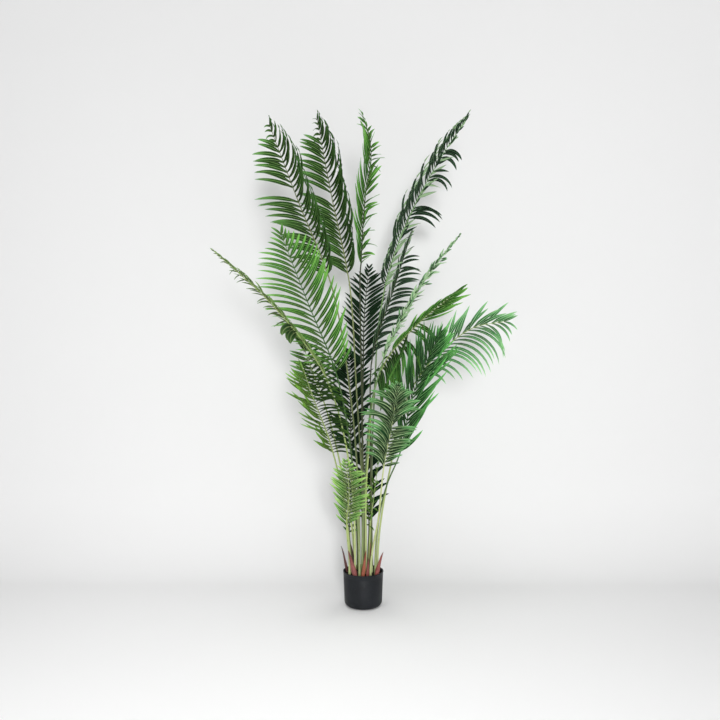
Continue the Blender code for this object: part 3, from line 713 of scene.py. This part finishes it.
class PALM_OT_fronds(bpy.types.Operator):
    """Grow every frond's stem, midrib and leaflets along the frame"""
    bl_idname = "palm.fronds"
    bl_label = "Fronds and Stems"

    def execute(self, context):
        foliage = context.scene.palm_foliage
        leaves = {}
        for shade in SHADES:
            leaves[shade] = [
                leaf_material("printed_polyester_leaf_" + shade, shade, False, foliage.vein_spacing),
                leaf_material("leaf_underside_" + shade, shade, True, foliage.vein_spacing)]
        stems = {rib: stem_material("polyethylene_stem_" + rib, rib) for rib in RIBS}
        for node in FROND_NODES:
            frond = read_frond(node)
            look = LOOKS[node]
            make_stem(frond, look, foliage, stems[look.rib])
            make_leaflets(frond, look, foliage, leaves[look.shade])
        return {"FINISHED"}


# ------------------------------------------------------------------ pot

def pot_material():
    """Moulded polypropylene nursery pot: charcoal, satin, with the faint texture of the mould and the
    thin rings that its cooling leaves."""
    material, tree, shader = new_material("moulded_polypropylene", 0.46, 0.22, 1.49)
    coords = add(tree, "TexCoord", out="Object")
    height = add(tree, "SeparateXYZ", (coords,), "Z")
    # about 70 mm across
    cloud = add(tree, "TexNoise", {"Vector": coords, "Scale": 14.0, "Detail": 3.0, "Roughness": 0.55})
    colour = add(tree, "ValToRGB", (cloud,), stops=((0.3, "#16181B"), (0.7, "#202327")))
    rings = add(tree, "Math", (height, 2 * math.pi / (6.0 * MM)), operation="MULTIPLY")
    rings = add(tree, "Math", (rings,), operation="SINE")
    share = add(tree, "Math", (rings, 0.05, 0.05), operation="MULTIPLY_ADD")
    colour = add(tree, "Mix", {0: share, 6: colour, 7: "#34373C"}, 2, data_type="RGBA")
    # about 2.4 mm across
    dust = add(tree, "TexNoise", {"Vector": coords, "Scale": 420.0, "Detail": 2.0, "Roughness": 0.55})
    dust = add(tree, "Math", (dust, 0.66), operation="GREATER_THAN")
    share = add(tree, "Math", (dust, 0.10), operation="MULTIPLY")
    colour = add(tree, "Mix", {0: share, 6: colour, 7: "#7A7C80"}, 2, data_type="RGBA")
    rough = add(tree, "Math", (cloud, 0.2, 0.38), operation="MULTIPLY_ADD")
    # about 0.8 mm across
    grain = add(tree, "TexNoise", {"Vector": coords, "Scale": 1300.0, "Detail": 2.0, "Roughness": 0.55})
    relief = add(tree, "Math", (rings, 0.5), operation="MULTIPLY")
    relief = add(tree, "Math", (relief, grain), operation="ADD")
    tree.links.new(colour, shader.inputs["Base Color"])
    tree.links.new(rough, shader.inputs["Roughness"])
    bump = add(tree, "Bump", {"Strength": 0.25, "Distance": 0.15 * MM, "Height": relief})
    tree.links.new(bump, shader.inputs["Normal"])
    return material


def quarter(centre_radius, centre_height, radius, steps):
    """Points of a quarter round from its side down to its foot, as radius and height."""
    turns = (math.pi / 2 * step / steps for step in range(steps + 1))
    return [(centre_radius + radius * math.cos(turn), centre_height - radius * math.sin(turn))
            for turn in turns]


def lathe(build, profile, steps):
    """Turn a profile of (radius, height) points about the pot's axis into a closed skin."""
    verts = [build.verts.new((radius, 0.0, height)) for radius, height in profile]
    edges = [build.edges.new(pair) for pair in zip(verts, verts[1:])]
    bmesh.ops.spin(build, geom=verts + edges, cent=(0, 0, 0), axis=UP, angle=2 * math.pi, steps=steps,
                   use_merge=True)
    bmesh.ops.remove_doubles(build, verts=build.verts, dist=JOINED)
    bmesh.ops.recalc_face_normals(build, faces=build.faces)


class PALM_OT_pot(bpy.types.Operator):
    """Turn the nursery pot with its beaded rim and rounded foot"""
    bl_idname = "palm.pot"
    bl_label = "Pot"

    def execute(self, context):
        size = context.scene.palm_pot
        top = POT_HIGH.z
        foot = FOOT_RADIUS
        slope = (RIM_RADIUS - 0.8 * MM - foot) / top

        def wall(height):
            return foot + slope * height

        bead_foot = top - size.bead
        inner_round = size.foot_round - size.wall
        centre = wall(size.foot_round) - size.foot_round
        profile = [(0.0, 3.0 * MM)]
        profile += reversed(quarter(centre, 3.0 * MM + inner_round, inner_round, 8))
        profile += [(wall(top) - size.wall, top - 1.0 * MM)]
        profile += [(wall(top) - size.wall + 0.5 * MM, top - 0.2 * MM)]
        profile += [(wall(top) - 0.6 * MM, top), (RIM_RADIUS - 0.3 * MM, top - 0.3 * MM)]
        profile += [(RIM_RADIUS, top - 1.2 * MM), (RIM_RADIUS - 0.1 * MM, bead_foot + 0.8 * MM)]
        profile += [(wall(bead_foot) + 0.2 * MM, bead_foot), (wall(bead_foot - 6 * MM), bead_foot - 6 * MM)]
        for line in (16 * MM, 19 * MM):         # two fine grooves under the rim
            level = top - line
            profile += [(wall(level + 0.7 * MM), level + 0.7 * MM), (wall(level) - 0.25 * MM, level),
                        (wall(level - 0.7 * MM), level - 0.7 * MM)]
        profile += quarter(centre, size.foot_round, size.foot_round, 12)
        profile += [(centre - 6 * MM, 0.0), (centre - 7 * MM, 0.8 * MM), (0.0, 0.8 * MM)]
        build = bmesh.new()
        lathe(build, profile, 128)
        finish_piece("nursery_pot", build, [pot_material()], ["pot"])
        return {"FINISHED"}


# ------------------------------------------------------------------ soil

def soil_material():
    """Dark peat over the weight: matt, crumbly, near black with brown crumbs."""
    material, tree, shader = new_material("peat_soil", 0.95, 0.2)
    coords = add(tree, "TexCoord", out="Object")
    # about 4 mm across
    crumbs = add(tree, "TexNoise", {"Vector": coords, "Scale": 260.0, "Detail": 4.0, "Roughness": 0.65})
    colour = add(tree, "ValToRGB", (crumbs,),
                 stops=((0.30, "#0B0907"), (0.50, "#1B140E"), (0.62, "#33251A"), (0.74, "#5A4632")))
    tree.links.new(colour, shader.inputs["Base Color"])
    bump = add(tree, "Bump", {"Strength": 0.8, "Distance": 1.2 * MM, "Height": crumbs})
    tree.links.new(bump, shader.inputs["Normal"])
    return material


def cement_material():
    """Cast cement: matt and grey, with paler specks where its sand shows."""
    material, tree, shader = new_material("cast_cement", 0.92, 0.3)
    coords = add(tree, "TexCoord", out="Object")
    # about 6 mm across
    sand = add(tree, "TexNoise", {"Vector": coords, "Scale": 160.0, "Detail": 4.0, "Roughness": 0.55})
    colour = add(tree, "ValToRGB", (sand,), stops=((0.35, "#8B8781"), (0.65, "#A9A59D")))
    tree.links.new(colour, shader.inputs["Base Color"])
    bump = add(tree, "Bump", {"Strength": 0.5, "Distance": 0.6 * MM, "Height": sand})
    tree.links.new(bump, shader.inputs["Normal"])
    return material


# the cut stem that stands in the soil: its place, how deep it goes in, its radius at the foot and at the top,
# and the rise of its slanted cut
STUB_PLACE = Vector((0.032, 0.010, 0.0))
STUB_DEPTH = 4 * MM
STUB_FOOT = 3.4 * MM
STUB_TOP = 2.8 * MM
STUB_SLANT = 1.1


def soil_height(x, y):
    """Height of the bumpy soil surface at a place."""
    rough = noise.fractal(Vector((x, y, 0.0)) * 60, 0.7, 2.2, 5)
    heap = 3.0 * MM * noise.noise(Vector((x * 25, y * 25, 4.0)))
    return SOIL_TOP - 1.0 * MM + rough * 1.4 * MM + heap


class PALM_OT_soil(bpy.types.Operator):
    """Spread the soil with its clods, stand the cut stub in it and finish the weight under it"""
    bl_idname = "palm.soil"
    bl_label = "Soil"

    def execute(self, context):
        size = context.scene.palm_pot
        chance = random.Random(11)
        build = bmesh.new()
        grid = bmesh.ops.create_grid(build, x_segments=64, y_segments=64, size=1.0)["verts"]
        for vert in grid:
            x, y = vert.co.x, vert.co.y
            vert.co.x = SOIL_RADIUS * x * math.sqrt(1 - y * y / 2)
            vert.co.y = SOIL_RADIUS * y * math.sqrt(1 - x * x / 2)
            vert.co.z = soil_height(vert.co.x, vert.co.y)
        border = [edge for edge in build.edges if edge.is_boundary]
        skirt = bmesh.ops.extrude_edge_only(build, edges=border)["geom"]
        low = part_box("soil_cover")[0].z
        for vert in skirt:
            if isinstance(vert, bmesh.types.BMVert):
                vert.co.z = low
        under = [edge for edge in build.edges if edge.is_boundary]
        bmesh.ops.contextual_create(build, geom=under)
        for _ in range(size.clods):
            turn, out = chance.uniform(0, 2 * math.pi), SOIL_RADIUS * 0.96 * math.sqrt(chance.random())
            x, y = out * math.cos(turn), out * math.sin(turn)
            radius = chance.uniform(1.0, 3.2) * MM
            place = Matrix.Translation((x, y, soil_height(x, y) + radius * 0.25))
            lump = bmesh.ops.create_icosphere(build, subdivisions=2, radius=radius, matrix=place)["verts"]
            for vert in lump:
                vert.co += (vert.co - place.translation) * 0.5 * noise.noise(vert.co * 500)
                vert.co.z = place.translation.z + (vert.co.z - place.translation.z) * 0.75
        bmesh.ops.recalc_face_normals(build, faces=build.faces)
        finish_piece("peat_soil", build, [soil_material()], ["soil_cover"])
        place = STUB_PLACE + UP * (SOIL_TOP + size.stub / 2 - STUB_DEPTH)
        build = bmesh.new()
        along_layer = build.verts.layers.float.new("along")
        bmesh.ops.create_cone(build, cap_ends=True, segments=STEM_SIDES, radius1=STUB_FOOT, radius2=STUB_TOP,
                              depth=size.stub, matrix=Matrix.Translation(place))
        for vert in build.verts:
            if vert.co.z > place.z:
                vert.co.z += (vert.co.x - place.x) * STUB_SLANT
            vert[along_layer] = 0.0
        edges = [edge for edge in build.edges if edge.is_convex
                 and len(edge.link_faces[0].verts) != len(edge.link_faces[1].verts)]
        bmesh.ops.bevel(build, geom=edges, offset=0.4 * MM, offset_type="OFFSET", segments=2, profile=0.5,
                        affect="EDGES", material=-1)
        finish_piece("cut_stub", build, [stem_material("polyethylene_stub", "cream")], [])
        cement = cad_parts["cement_weight"].data.materials
        cement.clear()
        cement.append(cement_material())
        return {"FINISHED"}


# ------------------------------------------------------------------ sheaths

# foot and tip colours of each sheath, and how far its tip curls outward
SHEATH_LOOKS = {
    "sheath_1": ("#6B4240", "#4A2A2C", 0.10),
    "sheath_2": ("#A2605C", "#6E3E3A", 0.08),
    "sheath_3": ("#3A2220", "#5A3230", 0.06),
    "sheath_4": ("#B0654C", "#7A3F34", 0.06),
    "sheath_5": ("#96524C", "#6A3A36", 0.04),
    "sheath_6": ("#5C3626", "#A87858", 0.02),
    "sheath_7": ("#A45A54", "#8E5048", 0.10),
}


def bract_material(name, foot, tip):
    """Dried bract: a thin, leathery leaf base with fibres along it, satin where it is ridged and darker
    between its ridges, which is partly its own fibre streaks and partly painted shade in the grooves."""
    material, tree, shader = new_material(name, 0.5, 0.4)
    along = add(tree, "Attribute", out="Fac", attribute_name="along")
    coords = add(tree, "TexCoord", out="Object")
    # about 17 mm across
    patches = add(tree, "TexNoise", {"Vector": coords, "Scale": 60.0, "Detail": 3.0, "Roughness": 0.55})
    shift = add(tree, "Math", (patches, 0.6, -0.3), operation="MULTIPLY_ADD")
    place = add(tree, "Math", (along, shift), operation="ADD")
    colour = add(tree, "ValToRGB", (place,), stops=((0.0, foot), (0.55, foot), (1.0, tip)))
    uv = add(tree, "UVMap", uv_map="blade")
    stretched = add(tree, "Mapping", {"Vector": uv, "Scale": (1.1, 0.045, 1.0)})
    fibres = add(tree, "TexNoise", {"Vector": stretched, "Scale": 1.0, "Detail": 4.0})
    # dark streaks where the fibre relief is low: partly the bract's own streaks, partly painted shade in the
    # grooves
    lines = add(tree, "ValToRGB", (fibres,), stops=((0.38, "#2E1A18"), (0.55, "#FFFFFF")))
    colour = add(tree, "Mix", {0: 0.8, 6: colour, 7: lines}, 2, data_type="RGBA", blend_type="MULTIPLY")
    tree.links.new(colour, shader.inputs["Base Color"])
    bump = add(tree, "Bump", {"Strength": 0.6, "Distance": 0.5 * MM, "Height": fibres})
    tree.links.new(bump, shader.inputs["Normal"])
    return material


BRACT_ROWS = 22             # quads along a sheath
BRACT_COLUMNS = 10          # quads across a sheath
BRACT_THICKNESS = 0.8 * MM


def make_bract(node, foot_colour, tip_colour, curl):
    """A boat-shaped sheath along its frame node."""
    levels = levels_of(node)
    centres = [mean(level) for level in levels]
    spreads = []
    for level, centre in zip(levels, centres):
        far = max(level, key=lambda place: (place - centre).length)
        spreads.append(far - centre)
    base = spreads[0].normalized()
    line = smooth_line(centres, 8)
    total = (centres[-1] - centres[0]).length
    widest = max(spread.length for spread in spreads)
    build = bmesh.new()
    along_layer = build.verts.layers.float.new("along")
    uv_layer = build.loops.layers.uv.new("blade")
    grid = bmesh.ops.create_grid(build, x_segments=BRACT_COLUMNS, y_segments=BRACT_ROWS, size=0.5)["verts"]
    offsets = {}
    for vert in grid:
        offset = vert.co.x * 2
        share = vert.co.y + 0.5
        spot = share * (len(line) - 1)
        index = min(int(spot), len(line) - 2)
        centre = line[index].lerp(line[index + 1], spot - index)
        heading = (line[index + 1] - line[index]).normalized()
        across = (base - heading * base.dot(heading)).normalized()
        front = across.cross(heading)
        if front.y > 0:
            front = -front
        half = widest * (0.74 + 0.26 * math.sin(math.pi * min(share / 0.5, 1.0))) * (1 - share ** 2.4) ** 0.85
        outward = Vector((centres[0].x, centres[0].y, 0.0)).normalized()
        hollow = half * 0.75 * (1 - offset * offset) * (1 - 0.3 * share)
        ridge = 0.25 * MM * math.cos(offset * 5 * math.pi) * (1 - share)
        vert.co = centre + across * offset * half + front * (hollow - half * 0.3 + ridge)
        vert.co += outward * curl * total * share ** 3
        vert[along_layer] = share
        offsets[vert] = offset
    for face in build.faces:
        for loop in face.loops:
            loop[uv_layer].uv = (offsets[loop.vert] * widest / MM, loop.vert[along_layer] * total / MM)
    tips = [vert for vert in grid if vert[along_layer] > 0.999]
    bmesh.ops.remove_doubles(build, verts=tips, dist=JOINED)
    name = node.replace("sheath", "bract")
    piece = finish_piece(name, build, [bract_material("dried_" + name, foot_colour, tip_colour)],
                         [node])
    shell = piece.modifiers.new("Thickness", "SOLIDIFY")
    shell.thickness = BRACT_THICKNESS
    shell.offset = 0.0
    return piece


class PALM_OT_sheaths(bpy.types.Operator):
    """Shape the dried sheaths at the stems' feet"""
    bl_idname = "palm.sheaths"
    bl_label = "Sheaths"

    def execute(self, context):
        for node in SHEATH_NODES:
            make_bract(node, *SHEATH_LOOKS[node])
        return {"FINISHED"}


# ------------------------------------------------------------------ stage

SWEEP_HALF = 6.0            # half the paper's width
SWEEP_HEIGHT = 6.0
SWEEP_FRONT = -8.0
SWEEP_WALL = 0.52           # how far behind the pot's axis the paper stands
SWEEP_BEND = 0.3
CAMERA_ASIDE = -0.012
SKY = "#F8F8F8"
SKY_STRENGTH = 0.31


def area_light(name, place, aim, size, power, spread=180):
    """A square soft light at a place, pointing at a point, that spreads by some degrees."""
    lamp = bpy.data.lights.new(name, "AREA")
    lamp.size = size
    lamp.energy = power
    lamp.spread = math.radians(spread)
    holder = bpy.data.objects.new(name, lamp)
    holder.location = place
    holder.rotation_euler = (Vector(aim) - Vector(place)).to_track_quat("-Z", "Y").to_euler()
    bpy.context.scene.collection.objects.link(holder)


class PALM_OT_stage(bpy.types.Operator):
    """Lay the pale floor and backdrop, hang the soft lights and set the camera"""
    bl_idname = "palm.stage"
    bl_label = "Stage"

    def execute(self, context):
        scene = context.scene
        stage = scene.palm_stage
        build = bmesh.new()
        ends = [build.verts.new((across, SWEEP_FRONT, 0.0)) for across in (-SWEEP_HALF, SWEEP_HALF)]
        edge = build.edges.new(ends)
        moved = bmesh.ops.extrude_edge_only(build, edges=[edge])["geom"]
        verts = [part for part in moved if isinstance(part, bmesh.types.BMVert)]
        for vert in verts:
            vert.co.y = SWEEP_WALL - SWEEP_BEND
        edges = [part for part in moved if isinstance(part, bmesh.types.BMEdge)]
        turn = (0, SWEEP_WALL - SWEEP_BEND, SWEEP_BEND)
        spin = bmesh.ops.spin(build, geom=verts + edges, cent=turn, axis=(1, 0, 0), angle=math.pi / 2,
                              steps=24)["geom_last"]
        last = [part for part in spin if isinstance(part, bmesh.types.BMEdge)]
        top = bmesh.ops.extrude_edge_only(build, edges=last)["geom"]
        for part in top:
            if isinstance(part, bmesh.types.BMVert):
                part.co.z = SWEEP_HEIGHT
        bmesh.ops.recalc_face_normals(build, faces=build.faces)
        build.faces.ensure_lookup_table()
        build.normal_update()
        if build.faces[0].normal.z < 0:
            bmesh.ops.reverse_faces(build, faces=build.faces)
        mesh = bpy.data.meshes.new("studio_sweep")
        build.to_mesh(mesh)
        build.free()
        mesh.shade_smooth()
        sweep = bpy.data.objects.new("studio_sweep", mesh)
        scene.collection.objects.link(sweep)
        mesh.materials.append(backdrop_material(stage.floor))
        area_light("key", (0.5, -7.0, 2.0), (0.0, 0.0, 0.95), 1.2, 285.0)
        area_light("top", (-0.2, -1.5, 3.3), (-0.2, -1.4, 0.0), 2.5, 17.0, 80)
        world = bpy.data.worlds.new("studio")
        world.use_nodes = True
        scene.world = world
        sky = world.node_tree.nodes["Background"]
        sky.inputs["Color"].default_value = (*linear(SKY), 1.0)
        sky.inputs["Strength"].default_value = SKY_STRENGTH
        lens = bpy.data.cameras.new("camera")
        lens.lens = stage.lens
        lens.clip_end = 100.0
        camera = bpy.data.objects.new("camera", lens)
        camera.location = (CAMERA_ASIDE, -stage.distance, stage.height)
        aim = Vector((CAMERA_ASIDE, 0.0, stage.aim))
        camera.rotation_euler = (aim - camera.location).to_track_quat("-Z", "Y").to_euler()
        scene.collection.objects.link(camera)
        scene.camera = camera
        scene.view_settings.view_transform = "Standard"
        return {"FINISHED"}


def backdrop_material(colour):
    """Matt paper sweep: even and pale, and clear from behind, so that the palm shows from all sides."""
    material, tree, shader = new_material("matt_paper_sweep", 0.95, 0.1)
    shader.inputs["Base Color"].default_value = (*colour, 1.0)
    behind = add(tree, "NewGeometry", out="Backfacing")
    mix = add(tree, "MixShader", (behind, shader.outputs[0], add(tree, "BsdfTransparent")))
    tree.links.new(mix, tree.nodes["Material Output"].inputs["Surface"])
    return material


# ------------------------------------------------------------------ panel and main

class PALM_PT_panel(bpy.types.Panel):
    """Steps that make the palm, in order"""
    bl_idname = "PALM_PT_panel"
    bl_label = "Potted Palm"
    bl_space_type = "VIEW_3D"
    bl_region_type = "UI"
    bl_category = "Palm"

    def draw(self, context):
        for step in STEPS:
            self.layout.operator(step.bl_idname)
        for settings in (context.scene.palm_foliage, context.scene.palm_pot, context.scene.palm_stage):
            box = self.layout.box()
            for name in settings.__annotations__:
                box.prop(settings, name)


STEPS = (PALM_OT_fronds, PALM_OT_sheaths, PALM_OT_soil, PALM_OT_pot, PALM_OT_stage)
CLASSES = (PalmFoliage, PalmPot, PalmStage, *STEPS, PALM_PT_panel)


def register():
    for each in CLASSES:
        bpy.utils.register_class(each)
    bpy.types.Scene.palm_foliage = PointerProperty(type=PalmFoliage)
    bpy.types.Scene.palm_pot = PointerProperty(type=PalmPot)
    bpy.types.Scene.palm_stage = PointerProperty(type=PalmStage)


def unregister():
    del bpy.types.Scene.palm_stage
    del bpy.types.Scene.palm_pot
    del bpy.types.Scene.palm_foliage
    for each in reversed(CLASSES):
        bpy.utils.unregister_class(each)


def main():
    register()
    bpy.ops.palm.fronds()
    bpy.ops.palm.sheaths()
    bpy.ops.palm.soil()
    bpy.ops.palm.pot()
    bpy.ops.palm.stage()


if __name__ == "__main__":
    main()
